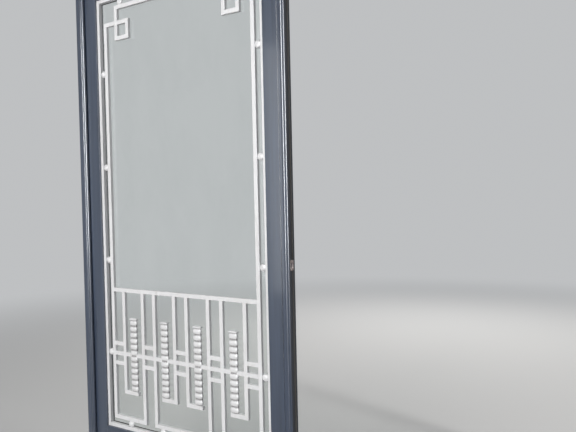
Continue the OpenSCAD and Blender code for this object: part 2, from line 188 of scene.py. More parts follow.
# JAMBS AND HEAD
# Two softwood jambs and a head, rebated from solid stock and screwed to the masonry. They are
# brush painted in several coats of slate blue oil paint, which has streaks and rubbed edges.
slate_blue = (0.033, 0.047, 0.080)
slate_worn = (0.070, 0.091, 0.132)
undercoat = (0.30, 0.33, 0.36)
# Near-black colour of the one dull coat on hidden faces: its darkness is painted shade.
shaded_thin_coat = (0.016, 0.019, 0.026)
faded_slate = (0.060, 0.072, 0.098)
floor_dust = (0.105, 0.108, 0.112)
scuff_grey = (0.19, 0.20, 0.21)
varnish, varnish_blur, handled_varnish = 0.45, 0.09, 0.05
arris = 0.0014
coat_fades, coat_full = 0.0012, 0.0004
handled_fades, handled_full = 0.016, 0.010


def new_finish(name):
    """A material with nothing but a Principled shader. Returns it, its tree, the shader and the Object
    coordinates, on which every pattern lies."""
    made = bpy.data.materials.new(name)
    made.use_nodes = True
    tree = made.node_tree
    tree.nodes.clear()
    skin = put(tree, "ShaderNodeBsdfPrincipled", {})
    put(tree, "ShaderNodeOutputMaterial", {0: skin.outputs[0]})
    return made, tree, skin, put(tree, "ShaderNodeTexCoord", {}).outputs["Object"]


def cloud(tree, spot, stretch, detail=4.0, rough=0.55):
    """Noise from 0 to 1 over points that are first multiplied by stretch along X, Y and Z."""
    scaled = put(tree, "ShaderNodeMapping", {"Vector": spot, "Scale": stretch})
    return put(tree, "ShaderNodeTexNoise", {"Vector": scaled.outputs[0], "Scale": 1.0, "Detail": detail,
                                            "Roughness": rough}).outputs["Fac"]


def spread(tree, value, low, high, bottom=0.0, top=1.0):
    """Straight line from bottom at low to top at high, held level beyond both."""
    return put(tree, "ShaderNodeMapRange", {0: value, 1: low, 2: high, 3: bottom, 4: top}).outputs[0]


def tinted(tree, share, colour_a, colour_b):
    """colour_a where share is 0 and colour_b where it is 1."""
    mix = put(tree, "ShaderNodeMix", {0: share}, data_type="RGBA")
    for key, colour in ((6, colour_a), (7, colour_b)):
        if isinstance(colour, bpy.types.NodeSocket):
            tree.links.new(colour, mix.inputs[key])
        else:
            mix.inputs[key].default_value = (*colour, 1)
    return mix.outputs[2]


def times(tree, a, b):
    """The product of two values."""
    return put(tree, "ShaderNodeMath", {0: a, 1: b}, operation="MULTIPLY").outputs[0]


def plus(tree, a, b):
    """The sum of two values."""
    return put(tree, "ShaderNodeMath", {0: a, 1: b}, operation="ADD").outputs[0]


def rounded_edge(tree, radius):
    """Normal of an edge rounded to radius, and how much of an edge it is: 0 on a flat, 1 on an arris."""
    eased = put(tree, "ShaderNodeBevel", {"Radius": radius}, samples=4).outputs[0]
    flat = put(tree, "ShaderNodeNewGeometry", {}).outputs["Normal"]
    same = put(tree, "ShaderNodeVectorMath", {0: eased, 1: flat}, operation="DOT_PRODUCT").outputs["Value"]
    return eased, spread(tree, same, 0.985, 0.80)


def raise_grain(tree, skin, strength, depth, height, eased=None):
    """Gives the skin a bump of this depth where height is 1, over the rounded edges' normal if given."""
    sockets = {"Strength": strength, "Distance": depth, "Height": height}
    if eased is not None:
        sockets["Normal"] = eased
    tree.links.new(put(tree, "ShaderNodeBump", sockets).outputs[0], skin.inputs["Normal"])


def brushed_slate(run, name="", dull_axis=None, dull_from=0.0, dull_to=0.0, handled=None):
    """Slate blue paint laid off with a brush along the axis run, rubbed at the edges and scuffed near
    the floor. A hidden face has one dull coat, painted near black as shade: none of it at dull_from
    along dull_axis, and all of it at dull_to. Hands have dulled the varnish from the first to the
    second place in handled."""
    made, tree, skin, spot = new_finish("slate_paint_along_" + run + name)
    long_way = {"x": (2.2, 62, 62), "y": (62, 2.2, 62), "z": (62, 62, 2.2)}[run]
    bristles = cloud(tree, spot, long_way, 6.0, 0.62)
    broad = cloud(tree, spot, tuple(s / 4.5 for s in long_way), 3.0, 0.5)
    weather = cloud(tree, spot, (2.4, 2.4, 1.6), 4.0, 0.55)
    grime_and_shade_noise = cloud(tree, spot, (38, 38, 38), 5.0, 0.6)
    eased, edge = rounded_edge(tree, arris)
    dark, light = (tuple(c * share for c in slate_blue) for share in (0.80, 1.22))
    colour = tinted(tree, spread(tree, bristles, 0.36, 0.66), dark, light)
    colour = tinted(tree, spread(tree, broad, 0.40, 0.72, 0.0, 0.42), colour, slate_worn)
    colour = tinted(tree, spread(tree, weather, 0.45, 0.70, 0.0, 0.35), colour, faded_slate)
    axes = put(tree, "ShaderNodeSeparateXYZ", {0: spot})
    low = spread(tree, axes.outputs[2], 0.30, 0.03)
    strokes = cloud(tree, spot, (17, 17, 150), 5.0, 0.7)
    scuffs = times(tree, low, spread(tree, strokes, 0.54, 0.66))
    colour = tinted(tree, times(tree, low, spread(tree, broad, 0.3, 0.7, 0.10, 0.30)), colour, floor_dust)
    colour = tinted(tree, times(tree, scuffs, 0.5), colour, scuff_grey)
    rubbed = times(tree, edge, spread(tree, grime_and_shade_noise, 0.40, 0.60, 0.12, 0.75))
    colour = tinted(tree, rubbed, colour, undercoat)
    gloss = plus(tree, spread(tree, bristles, 0.30, 0.70, 0.26, 0.40), times(tree, low, 0.16))
    if dull_axis is not None:
        hidden = spread(tree, axes.outputs[dull_axis], dull_from, dull_to)
        # Painted shade: under its dull coat, the hidden face is darkened towards near black.
        painted_shade_cover = times(tree, hidden, spread(tree, grime_and_shade_noise, 0.3, 0.7, 0.72, 0.95))
        colour = tinted(tree, painted_shade_cover, colour, shaded_thin_coat)
        gloss = plus(tree, gloss, times(tree, hidden, 0.35))
        polish = spread(tree, hidden, 0.0, 1.0, varnish, 0.0)
        if handled is not None:
            worn = spread(tree, axes.outputs[dull_axis], *handled, varnish, handled_varnish)
            polish = put(tree, "ShaderNodeMath", {0: polish, 1: worn}, operation="MINIMUM").outputs[0]
        tree.links.new(polish, skin.inputs["Coat Weight"])
    tree.links.new(colour, skin.inputs["Base Color"])
    tree.links.new(gloss, skin.inputs["Roughness"])
    skin.inputs["Coat Weight"].default_value = varnish
    skin.inputs["Coat Roughness"].default_value = varnish_blur
    relief = plus(tree, bristles, times(tree, grime_and_shade_noise, 0.25))
    raise_grain(tree, skin, 0.35, 0.0004, relief, eased)
    return made


def dress(finish, *names):
    """Gives the CAD nodes this finish."""
    for name in names:
        piece = frame["nodes"][name]
        piece.data.materials.clear()
        piece.data.materials.append(finish)


def slate_dull_on(run, name, axis, face, inward, handled=None):
    """Brushed slate with the dull coat, darkened as painted shade, on the face at this place on the axis.
    inward is 1 where the piece lies beyond the face, and -1 where it ends there. handled goes to
    brushed_slate as it is."""
    return brushed_slate(run, name, axis, face + inward * coat_fades, face + inward * coat_full, handled)


slate = {run: brushed_slate(run) for run in "xyz"}
# The jambs' wall sides and the head's top get the dull coat, darkened as painted shade.
dress(slate_dull_on("z", "_left_wall_side", 0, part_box("left_jamb")[0].x, 1), "left_jamb")
dress(slate_dull_on("z", "_right_wall_side", 0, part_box("right_jamb")[1].x, -1), "right_jamb")
dress(slate_dull_on("x", "_wall_side", 2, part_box("head")[1].z, -1), "head")


# STOP MOULDING
# A beaded softwood moulding, pinned to the face of the frame and mitred at its top corners. It
# laps the edges of the leaves, and carries the same paint as the frame.
dress(slate["z"], "left_stop", "right_stop")
dress(slate["x"], "head_stop")


# THRESHOLD
# A low saddle of extruded aluminium with a bevel on each side. Its tread has fine ribs, with a
# plain strip between them for the countersunk screws, and is dulled and scratched by feet.
sill_low, sill_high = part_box("threshold")
bevel_run, sill_arris = 0.022, 0.0008
tread_half = (sill_high.y - sill_low.y) / 2 - bevel_run
tread_edge, rib_end, plain_half = 0.001, 0.004, 0.0075
rib_pitch, rib_rise, rib_sunk, rib_foot = 0.0032, 0.0008, 0.0001, 0.0006
sill_screw_r, sill_screw_end, sill_screw_up = 0.0048, 0.09, 0.0003
aluminium_dark, aluminium_light = (0.46, 0.47, 0.48), (0.62, 0.63, 0.64)
trodden_dirt, rubbed_bright = (0.20, 0.19, 0.18), (0.80, 0.81, 0.82)


def worn_aluminium():
    """Drawn aluminium with fine lines along X, dirt trodden into it and bright rubbed edges."""
    made, tree, skin, spot = new_finish("worn_aluminium")
    drawn = cloud(tree, spot, (1.5, 420, 420), 4.0, 0.6)
    steps = cloud(tree, spot, (26, 9, 9), 5.0, 0.65)
    dirt = cloud(tree, spot, (6, 30, 30), 4.0, 0.6)
    eased, edge = rounded_edge(tree, sill_arris)
    colour = tinted(tree, spread(tree, drawn, 0.3, 0.7), aluminium_dark, aluminium_light)
    colour = tinted(tree, spread(tree, dirt, 0.52, 0.70, 0.0, 0.6), colour, trodden_dirt)
    colour = tinted(tree, times(tree, edge, 0.6), colour, rubbed_bright)
    tree.links.new(colour, skin.inputs["Base Color"])
    tree.links.new(spread(tree, steps, 0.35, 0.65, 0.30, 0.52), skin.inputs["Roughness"])
    skin.inputs["Metallic"].default_value = 0.9
    relief = plus(tree, times(tree, drawn, 0.4), steps)
    raise_grain(tree, skin, 0.3, 0.0003, relief, eased)
    return made


def closed_tube(rings):
    """Points and faces of a closed form from rings of points, an array of rows x around x 3: quads
    between each ring and the next, and at both ends a fan of triangles to the middle of the ring."""
    rows, around = rings.shape[:2]
    points = np.vstack([rings.reshape(-1, 3), rings[0].mean(0), rings[-1].mean(0)])
    r, c = np.meshgrid(np.arange(rows - 1), np.arange(around), indexing="ij")
    step = (c + 1) % around
    quads = np.stack([r * around + c, r * around + step, (r + 1) * around + step, (r + 1) * around + c], -1)
    one = np.arange(around)
    two = (one + 1) % around
    first, last = rows * around, rows * around + 1
    top = (rows - 1) * around
    low_fan = np.stack([np.full(around, first), two, one], -1)
    high_fan = np.stack([np.full(around, last), top + one, top + two], -1)
    return points, quads.reshape(-1, 4).tolist() + low_fan.tolist() + high_fan.tolist()


def stack(parts):
    """Joins a list of (points, faces) into one: each part's faces count on from the points before it."""
    points, faces, start = [], [], 0
    for some, joined in parts:
        points.append(some)
        faces += [[i + start for i in face] for face in joined]
        start += len(some)
    return np.vstack(points), faces


def raise_piece(name, points, faces, body, finish, smooth=True):
    """A mesh object with its place in its points, its faces turned outwards, riding on body."""
    mesh = bpy.data.meshes.new(name)
    mesh.from_pydata(np.asarray(points, float).tolist(), [], [tuple(f) for f in faces])
    mesh.materials.append(finish)
    mesh.polygons.foreach_set("use_smooth", np.full(len(mesh.polygons), smooth))
    mesh.update()
    piece = bpy.data.objects.new(name, mesh)
    bpy.context.scene.collection.objects.link(piece)
    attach(piece, body)
    return piece


def tread_ribs(y_from, y_to):
    """A ribbed strip between y_from and y_to: its height is rib_rise times |sin(pi y / rib_pitch)| to the
    power 0.6, with the pitch fitted to whole waves. The wave and a flat underside are carried along X."""
    waves = max(2, int(round((y_to - y_from) / rib_pitch)))
    t = np.linspace(0, 1, waves * 6 + 1)
    y = y_from + t * (y_to - y_from)
    z = sill_high.z - rib_sunk + rib_rise * np.abs(np.sin(np.pi * waves * t)) ** 0.6
    foot = sill_high.z - rib_foot
    section = np.concatenate([np.stack([y, z], -1), [[y_to, foot], [y_from, foot]]])
    along = np.array([sill_low.x + rib_end, sill_high.x - rib_end])
    rings = np.zeros((2, len(section), 3))
    rings[:, :, 0] = along[:, None]
    rings[:, :, 1:] = section
    return closed_tube(rings[::-1])


def screw_head(radius):
    """A slotted countersunk head, lying on z = 0 and facing +Z. A square grid (u, v) is pulled to a disc
    by x = u sqrt(1 - v v / 2), y = v sqrt(1 - u u / 2). It is domed by dome (1 - x x - y y), sunk where
    |v| is in the slot, and its rim is let into the metal. All shares are of the head's radius."""
    dome, slot_half, slot_deep, rim_deep = 0.10, 0.14, 0.26, 0.30
    u = np.array([-1, -0.92, -0.5, 0, 0.5, 0.92, 1.0])
    v = np.array([-1, -0.92, -0.55, -0.15, -0.13, 0.13, 0.15, 0.55, 0.92, 1.0])
    gu, gv = np.meshgrid(u, v, indexing="ij")
    x, y = gu * np.sqrt(1 - gv ** 2 / 2), gv * np.sqrt(1 - gu ** 2 / 2)
    z = dome * (1 - x * x - y * y) - slot_deep * (np.abs(gv) < slot_half)
    rim = (np.abs(gu) > 0.99) | (np.abs(gv) > 0.99)
    z = np.where(rim, -rim_deep, z)
    points = np.stack([x, y, z], -1).reshape(-1, 3) * radius
    r, c = np.meshgrid(np.arange(len(u) - 1), np.arange(len(v) - 1), indexing="ij")
    n = len(v)
    quads = np.stack([r * n + c, (r + 1) * n + c, (r + 1) * n + c + 1, r * n + c + 1], -1)
    return points, quads.reshape(-1, 4).tolist()


def screws(places, facing, radius, seed):
    """Screw heads at places on a face with the outward direction facing, their slots at odd angles that
    the seed fixes."""
    head, quads = screw_head(radius)
    out = np.array(facing, float)
    side = np.cross([0, 0, 1.0], out) if abs(out[2]) < 0.9 else np.array([1.0, 0, 0])
    side /= np.linalg.norm(side)
    third = np.cross(out, side)
    angles = np.random.default_rng(seed).uniform(0, np.pi, len(places))
    parts = []
    for place, angle in zip(places, angles):
        a = side * np.cos(angle) + third * np.sin(angle)
        b = third * np.cos(angle) - side * np.sin(angle)
        parts.append((np.array(place) + head[:, :1] * a + head[:, 1:2] * b + head[:, 2:] * out, quads))
    return stack(parts)


saddle_metal = worn_aluminium()
dress(saddle_metal, "threshold")
points, faces = stack([tread_ribs(plain_half, tread_half - tread_edge),
                       tread_ribs(tread_edge - tread_half, -plain_half)])
ribs = raise_piece("threshold_ribs", points, faces, "frame", saddle_metal, smooth=False)
sill_run = np.linspace(sill_low.x + sill_screw_end, sill_high.x - sill_screw_end, 7)
sill_spots = [(x, 0.0, sill_high.z + sill_screw_up) for x in sill_run]
points, faces = screws(sill_spots, (0, 0, 1), sill_screw_r, seed=3)
screws_in_sill = raise_piece("threshold_screws", points, faces, "frame", saddle_metal)
leave_out(mirrors, frame["nodes"]["threshold"], ribs, screws_in_sill)


# HINGES
# Three steel butt hinges to a leaf. One plate is let into the jamb and one into the leaf's edge,
# each held by three countersunk screws, and the pin has a small turned tip at both ends.
left_pin = Vector(frame["joints"][0]["pos_m"])
right_pin = Vector(frame["joints"][1]["pos_m"])
plating_dull, plating_bright, rust_brown = (0.30, 0.30, 0.31), (0.46, 0.46, 0.47), (0.16, 0.085, 0.05)
tip_rise, collar_r, tip_ball_r = 0.0062, 0.0054, 0.0047
plate_screw_r, outer_row, inner_row = 0.0042, -0.0205, -0.0115
hinges_apart, plate_arris = 0.2, 0.0006


def plated_steel(name, dull, bright):
    """Cloudy plating from dull to bright, with rust in specks and wear along the edges."""
    made, tree, skin, spot = new_finish(name)
    cloudy = cloud(tree, spot, (60, 60, 60), 4.0, 0.6)
    rust = cloud(tree, spot, (140, 140, 90), 6.0, 0.65)
    eased, edge = rounded_edge(tree, plate_arris)
    colour = tinted(tree, cloudy, dull, bright)
    colour = tinted(tree, spread(tree, rust, 0.60, 0.74, 0.0, 0.7), colour, rust_brown)
    colour = tinted(tree, times(tree, edge, 0.5), colour, tuple(c * 1.35 for c in bright))
    tree.links.new(colour, skin.inputs["Base Color"])
    tree.links.new(spread(tree, cloudy, 0.3, 0.7, 0.28, 0.46), skin.inputs["Roughness"])
    skin.inputs["Metallic"].default_value = 0.92
    raise_grain(tree, skin, 0.25, 0.0003, rust, eased)
    return made


def hinge_levels(node):
    """Lowest points of a node's hinges: its vertices' heights, split at each gap over hinges_apart."""
    z = np.unique(np.round([v.co.z for v in frame["nodes"][node].data.vertices], 5))
    return np.concatenate([[z[0]], z[1:][np.diff(z) > hinges_apart]])


def turned_tip(level, side):
    """The pin's tip, turned about the pin: a collar that tapers to a neck, and above 0.45 of its rise a
    ball of radius tip_ball_r sqrt(1 - ((t - 0.68) / 0.32)^2). side is 1 above the hinge and -1 below."""
    t = np.linspace(0, 1, 15)
    rise = tip_rise * t
    radius = np.interp(t, [0, 0.10, 0.22, 0.34, 0.42], [1.0, 1.0, 0.86, 0.62, 0.62]) * collar_r
    ball = np.sqrt(np.clip(1 - ((t - 0.68) / 0.32) ** 2, 0.0004, 1)) * tip_ball_r
    radius = np.where(t > 0.45, np.maximum(ball, 0.0001), radius)
    angle = np.linspace(0, 2 * np.pi, 20, endpoint=False) * side
    rings = np.stack([radius[:, None] * np.cos(angle), radius[:, None] * np.sin(angle),
                      np.broadcast_to((side * rise)[:, None], (len(t), len(angle)))], -1)
    points, faces = closed_tube(rings)
    return points + [left_pin.x, left_pin.y, level], faces


def across(points):
    """Mirrors points from the left side of the frame to the right side: x becomes both pins' sum less x."""
    turned = np.array(points, float)
    turned[:, 0] = left_pin.x + right_pin.x - turned[:, 0]
    return turned


def reversed_faces(faces):
    """The faces of mirrored points, turned so that they face outwards again."""
    return [face[::-1] for face in faces]


hinge_metal = plated_steel("plated_steel", plating_dull, plating_bright)
dress(hinge_metal, "left_frame_hinges", "right_frame_hinges", "left_leaf_hinges", "right_leaf_hinges")
levels = hinge_levels("left_frame_hinges")
hinge_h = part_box("left_frame_hinges")[1].z - levels[-1]
jamb_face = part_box("left_jamb")[1].x
leaf_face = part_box("left_hinge_stile")[0].x
leaf_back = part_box("left_hinge_stile")[1].y
screw_spots = [(outer_row, 0.18), (inner_row, 0.5), (outer_row, 0.82)]
tips = stack([turned_tip(z, -1) for z in levels] + [turned_tip(z + hinge_h, 1) for z in levels])
plate_spots = [(leaf_back + y, z + part * hinge_h) for z in levels for y, part in screw_spots]
jamb_spots = [(jamb_face, y, z) for y, z in plate_spots]
plate_screws = screws(jamb_spots, (1, 0, 0), plate_screw_r, seed=5)
points, faces = stack([tips, plate_screws])
left_tips = raise_piece("left_hinge_tips_and_screws", points, faces, "frame", hinge_metal)
right_tips = raise_piece("right_hinge_tips_and_screws", across(points), reversed_faces(faces), "frame",
                         hinge_metal)
all_hinges = [node for name, node in frame["nodes"].items() if name.endswith("hinges")]
leave_out(mirrors, left_tips, right_tips, *all_hinges)


# LEAVES
# Stiles and rails of seasoned softwood, jointed and glued, with a beaded moulding worked on the
# meeting edge. They are painted with the frame, brushed up the stiles and along the rails.
def hang(name, points, faces, finish, smooth=True, sides=("left", "right")):
    """Hangs a piece of the shut left leaf and its twin on the right leaf, which stands open by a quarter
    turn: seen from its own pin, the twin's (x, y) is the left piece's (y, x)."""
    made = []
    points = np.array(points, float)
    if "left" in sides:
        made.append(raise_piece("left_" + name, points, faces, "left_leaf", finish, smooth))
    if "right" in sides:
        twin = points.copy()
        twin[:, 0] = right_pin.x + points[:, 1] - left_pin.y
        twin[:, 1] = right_pin.y + points[:, 0] - left_pin.x
        turned = reversed_faces(faces)
        made.append(raise_piece("right_" + name, twin, turned, "right_leaf", finish, smooth))
    return made


dress(slate["z"], "left_hinge_stile", "left_meeting_stile", "right_hinge_stile", "right_meeting_stile")
left_edge, right_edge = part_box("left_edge_moulding")[1].x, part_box("right_edge_moulding")[1].y
left_handled = (left_edge - handled_fades, left_edge - handled_full)
right_handled = (right_edge - handled_fades, right_edge - handled_full)
# The meeting edges get the dull coat as well, darkened as painted shade.
dress(slate_dull_on("z", "_left_edge", 0, left_edge, -1, left_handled), "left_edge_moulding")
dress(slate_dull_on("z", "_right_edge", 1, right_edge, -1, right_handled), "right_edge_moulding")
dress(slate["x"], "left_top_rail", "left_bottom_rail")
dress(slate["y"], "right_top_rail", "right_bottom_rail")
leaf_spots = [(leaf_face, y, z) for y, z in plate_spots]
points, faces = screws(leaf_spots, (-1, 0, 0), plate_screw_r, seed=7)
leave_out(mirrors, *hang("leaf_hinge_screws", points, faces, hinge_metal))


# EDGE STRIP
# A slim metal draught strip runs down the meeting edge of the left leaf, bedded in the paint
# above and below the strike plate. It shows as a grey line in the dark edge.
edge_low, edge_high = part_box("left_edge_moulding")
strike_low, strike_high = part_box("left_strike_plate")
strip_w, strip_rise, strip_bed, strip_inward = 0.0075, 0.0014, 0.0006, 0.0035
strip_end, strip_to_strike = 0.003, 0.002
strip_dark, strip_light = (0.085, 0.080, 0.076), (0.16, 0.15, 0.14)


def edge_strip(z_from, z_to):
    """A shallow arched strip on the edge: it stands out by strip_rise sqrt(sin(pi t)) across its width."""
    t = np.linspace(0, 1, 9)
    out = strip_rise * np.sqrt(np.clip(np.sin(np.pi * t), 0, 1))
    y = (edge_low.y + edge_high.y) / 2 + strip_inward + (t - 0.5) * strip_w
    bed = edge_high.x - strip_bed
    section = np.concatenate([np.stack([edge_high.x + out, y], -1), [[bed, y[-1]], [bed, y[0]]]])
    rings = np.zeros((2, len(section), 3))
    rings[:, :, :2] = section
    rings[:, :, 2] = np.array([z_from, z_to])[:, None]
    return closed_tube(rings)


below_strike = edge_strip(edge_low.z + strip_end, strike_low.z - strip_to_strike)
above_strike = edge_strip(strike_high.z + strip_to_strike, edge_high.z - strip_end)
points, faces = stack([below_strike, above_strike])
strip_metal = plated_steel("draught_strip_metal", strip_dark, strip_light)
leave_out(mirrors, *hang("edge_strip", points, faces, strip_metal, sides=("left",)))


# GLASS
# One pane of clear plate glass to a leaf, set between the grille's border and the bead. It is
# bedded in dark sealant, which shows as a thin fillet round the border.
pane_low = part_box("left_glass")[0]
border_low, border_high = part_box("left_grille_border")
border_bar = 0.014
fillet_leg, fillet_sunk = 0.0032, 0.0005
glass_clean, glass_smeared, glass_shade = (0.94, 0.972, 0.962), (0.89, 0.925, 0.915), (0.92, 0.95, 0.94)
sealant_dark, sealant_light = (0.012, 0.012, 0.013), (0.045, 0.045, 0.045)


def clear_plate():
    """Clear glass that lets the lamps' light through, with faint smears and the waves of old plate."""
    made = bpy.data.materials.new("clear_plate_glass")
    made.use_nodes = True
    tree = made.node_tree
    tree.nodes.clear()
    spot = put(tree, "ShaderNodeTexCoord", {}).outputs["Object"]
    smears = cloud(tree, spot, (5, 5, 3), 5.0, 0.6)
    swell = cloud(tree, spot, (3, 3, 2), 1.0, 0.4)
    bump = put(tree, "ShaderNodeBump", {"Strength": 0.05, "Distance": 0.002, "Height": swell})
    skin = put(tree, "ShaderNodeBsdfPrincipled", {
        "Base Color": tinted(tree, spread(tree, smears, 0.40, 0.75), glass_clean, glass_smeared),
        "Transmission Weight": 1.0, "IOR": 1.5, "Roughness": 0.0, "Normal": bump.outputs[0]})
    open_way = put(tree, "ShaderNodeBsdfTransparent", {"Color": (*glass_shade, 1)})
    shade = put(tree, "ShaderNodeLightPath", {}).outputs["Is Shadow Ray"]
    mix = put(tree, "ShaderNodeMixShader", {0: shade, 1: skin.outputs[0], 2: open_way.outputs[0]})
    put(tree, "ShaderNodeOutputMaterial", {0: mix.outputs[0]})
    return made


def dark_sealant():
    """Black sealant with a lumpy, half dull skin."""
    made, tree, skin, spot = new_finish("dark_sealant")
    lumps = cloud(tree, spot, (120, 120, 120), 3.0, 0.6)
    tree.links.new(tinted(tree, lumps, sealant_dark, sealant_light), skin.inputs["Base Color"])
    tree.links.new(spread(tree, lumps, 0.3, 0.7, 0.45, 0.65), skin.inputs["Roughness"])
    raise_grain(tree, skin, 0.4, 0.0005, lumps)
    return made


def corner_fillet(inset, y_glass, leg):
    """A hollow fillet carried round the border, on the outer side of the glass. Its section is the corner
    point, then a quarter circle of radius leg that curves from the bar's face to the glass."""
    t = np.linspace(0, np.pi / 2, 5)
    inward = np.concatenate([[-fillet_sunk], -fillet_sunk + (leg + fillet_sunk) * (1 - np.cos(t))])
    out = np.concatenate([[0.0], leg * (1 - np.sin(t))])
    x_left, x_right = border_low.x + inset, border_high.x - inset
    z_foot, z_top = border_low.z + inset, border_high.z - inset
    corners = [(x_left, z_foot, 1, 1), (x_right, z_foot, -1, 1),
               (x_right, z_top, -1, -1), (x_left, z_top, 1, -1)]
    ring = np.array([[[x + sx * a, y_glass - b, z + sz * a] for a, b in zip(inward, out)]
                     for x, z, sx, sz in corners])
    sides, section = ring.shape[:2]
    i, j = np.meshgrid(np.arange(sides), np.arange(section), indexing="ij")
    ii, jj = (i + 1) % sides, (j + 1) % section
    quads = np.stack([i * section + j, ii * section + j, ii * section + jj, i * section + jj], -1)
    return ring.reshape(-1, 3), reversed_faces(quads.reshape(-1, 4).tolist())


dress(clear_plate(), "left_glass", "right_glass")
sealant = dark_sealant()
points, faces = corner_fillet(border_bar, pane_low.y, fillet_leg)
hang("front_sealant", points, faces, sealant, smooth=False)


# GLAZING BEAD
# A stepped softwood bead, mitred round the inner side of the pane and painted with the leaf. It is
# held by small brass screw pins with bare slotted heads.
bead_low, bead_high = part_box("left_glazing_bead")
pin_r, pin_in, pin_up, pin_end = 0.0020, 0.004, 0.0001, 0.09
brass_bare, brass_tarnished, brass_rubbed = (0.62, 0.39, 0.20), (0.24, 0.135, 0.075), (0.80, 0.60, 0.36)
brass_arris = 0.0007


def aged_brass(name, bare, tarnished, rubbed, sharp=0.22, dull=0.46):
    """Brass, bare and tarnished in clouds and rubbed along its edges. Its roughness goes from sharp where
    it is bare to dull where it is tarnished."""
    made, tree, skin, spot = new_finish(name)
    tarnish = cloud(tree, spot, (55, 55, 55), 5.0, 0.62)
    fine = cloud(tree, spot, (420, 420, 420), 3.0, 0.6)
    eased, edge = rounded_edge(tree, brass_arris)
    colour = tinted(tree, spread(tree, tarnish, 0.38, 0.66), bare, tarnished)
    colour = tinted(tree, times(tree, edge, 0.7), colour, rubbed)
    tree.links.new(colour, skin.inputs["Base Color"])
    tree.links.new(spread(tree, tarnish, 0.35, 0.70, sharp, dull), skin.inputs["Roughness"])
    skin.inputs["Metallic"].default_value = 0.95
    raise_grain(tree, skin, 0.2, 0.0002, plus(tree, tarnish, fine), eased)
    return made


brass = aged_brass("aged_brass", brass_bare, brass_tarnished, brass_rubbed)
dress(slate["z"], "left_glazing_bead", "right_glazing_bead")
pin_z = np.linspace(bead_low.z + pin_end, bead_high.z - pin_end, 8)
pin_x = np.linspace(bead_low.x + pin_end, bead_high.x - pin_end, 4)
pin_y = bead_high.y + pin_up
pin_spots = [(x, pin_y, z) for x in (bead_low.x + pin_in, bead_high.x - pin_in) for z in pin_z]
pin_spots += [(x, pin_y, z) for z in (bead_low.z + pin_in, bead_high.z - pin_in) for x in pin_x]
points, faces = screws(pin_spots, (0, 1, 0), pin_r, seed=11)
hang("bead_pins", points, faces, brass)


# GRILLE
# Square steel bars in a flat border, cut, welded and ground flush, and spray painted silver white.
# The paint is chalky in the corners, and thin and grey along the edges.
silver_white, chalky_white, run_grey = (0.75, 0.75, 0.765), (0.67, 0.665, 0.67), (0.55, 0.54, 0.53)
# The second colour on the next line is grey painted shade for the grooves of the ribbed columns.
worn_grey, groove_shade = (0.42, 0.42, 0.43), (0.20, 0.195, 0.195)
bar_arris = 0.0012


def silver_paint(name, grooved=False):
    """Thin silver-white paint. Where grooved is true, grey painted shade grows with the mesh's own value
    called groove, which is 0 on a crown and 1 at the bottom of a groove."""
    made, tree, skin, spot = new_finish(name)
    drift = cloud(tree, spot, (7, 7, 4), 4.0, 0.55)
    speckle = cloud(tree, spot, (160, 160, 160), 4.0, 0.6)
    runs = cloud(tree, spot, (95, 95, 12), 4.0, 0.6)
    eased, edge = rounded_edge(tree, bar_arris)
    colour = tinted(tree, spread(tree, drift, 0.35, 0.70, 0.0, 0.8), silver_white, chalky_white)
    colour = tinted(tree, spread(tree, runs, 0.56, 0.74, 0.0, 0.45), colour, run_grey)
    colour = tinted(tree, times(tree, edge, spread(tree, speckle, 0.42, 0.62, 0.05, 0.5)), colour, worn_grey)
    if grooved:
        depth = put(tree, "ShaderNodeAttribute", {}, attribute_name="groove").outputs["Fac"]
        groove_shade_share = plus(tree, depth, spread(tree, speckle, 0.3, 0.7, -0.15, 0.15))
        # Painted shade darkens the grooves towards their bottoms.
        colour = tinted(tree, spread(tree, groove_shade_share, 0.45, 0.95, 0.0, 0.88), colour, groove_shade)
    tree.links.new(colour, skin.inputs["Base Color"])
    tree.links.new(spread(tree, speckle, 0.3, 0.7, 0.44, 0.60), skin.inputs["Roughness"])
    skin.inputs["Metallic"].default_value = 0.06
    relief = plus(tree, times(tree, speckle, 0.6), runs)
    raise_grain(tree, skin, 0.3, 0.0004, relief, eased)
    return made


silver = silver_paint("silver_white_paint")
dress(silver, "left_grille_border", "left_grille_fret", "left_grille_lattice",
      "right_grille_border", "right_grille_fret", "right_grille_lattice")


# RIBBED COLUMNS
# Four cast columns to a leaf stand on short feet in the wide bays. Each is a stack of swelling
# ribs, closed by a thin cap, and notched behind where the middle rail passes.
columns_low, columns_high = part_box("left_grille_columns")
fret_low, fret_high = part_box("left_grille_fret")
bar_w, pair_pitch = 0.016, 0.063
wide_pitch = (fret_high.x - fret_low.x - bar_w - 5 * pair_pitch) / 4
column_x = [fret_low.x + bar_w / 2 + pair_pitch * (k + 1) + wide_pitch * (k + 0.5) for k in range(4)]
column_w, cap_h, cap_out, column_ribs = 0.038, 0.007, 0.001, 12
side_cut, front_cut, cap_eased = 0.0042, 0.0036, 0.0022
half_d, y_mid = (columns_high.y - columns_low.y) / 2, (columns_high.y + columns_low.y) / 2
ribs_h = columns_high.z - cap_h - columns_low.z
around = np.linspace(0, 2 * np.pi, 44, endpoint=False)


def soft_corners(power):
    """Distance of a rectangle's soft outline |x|^power + |y|^power = 1 from its middle, at each angle."""
    return (np.abs(np.cos(around)) ** power + np.abs(np.sin(around)) ** power) ** (-1 / power)


def groove_depth(ribs):
    """1 at the bottom of a groove and 0 on a crown, at a height counted in ribs: 1 - |sin(pi ribs)|^1.3."""
    return 1 - np.abs(np.sin(np.pi * ribs)) ** 1.3


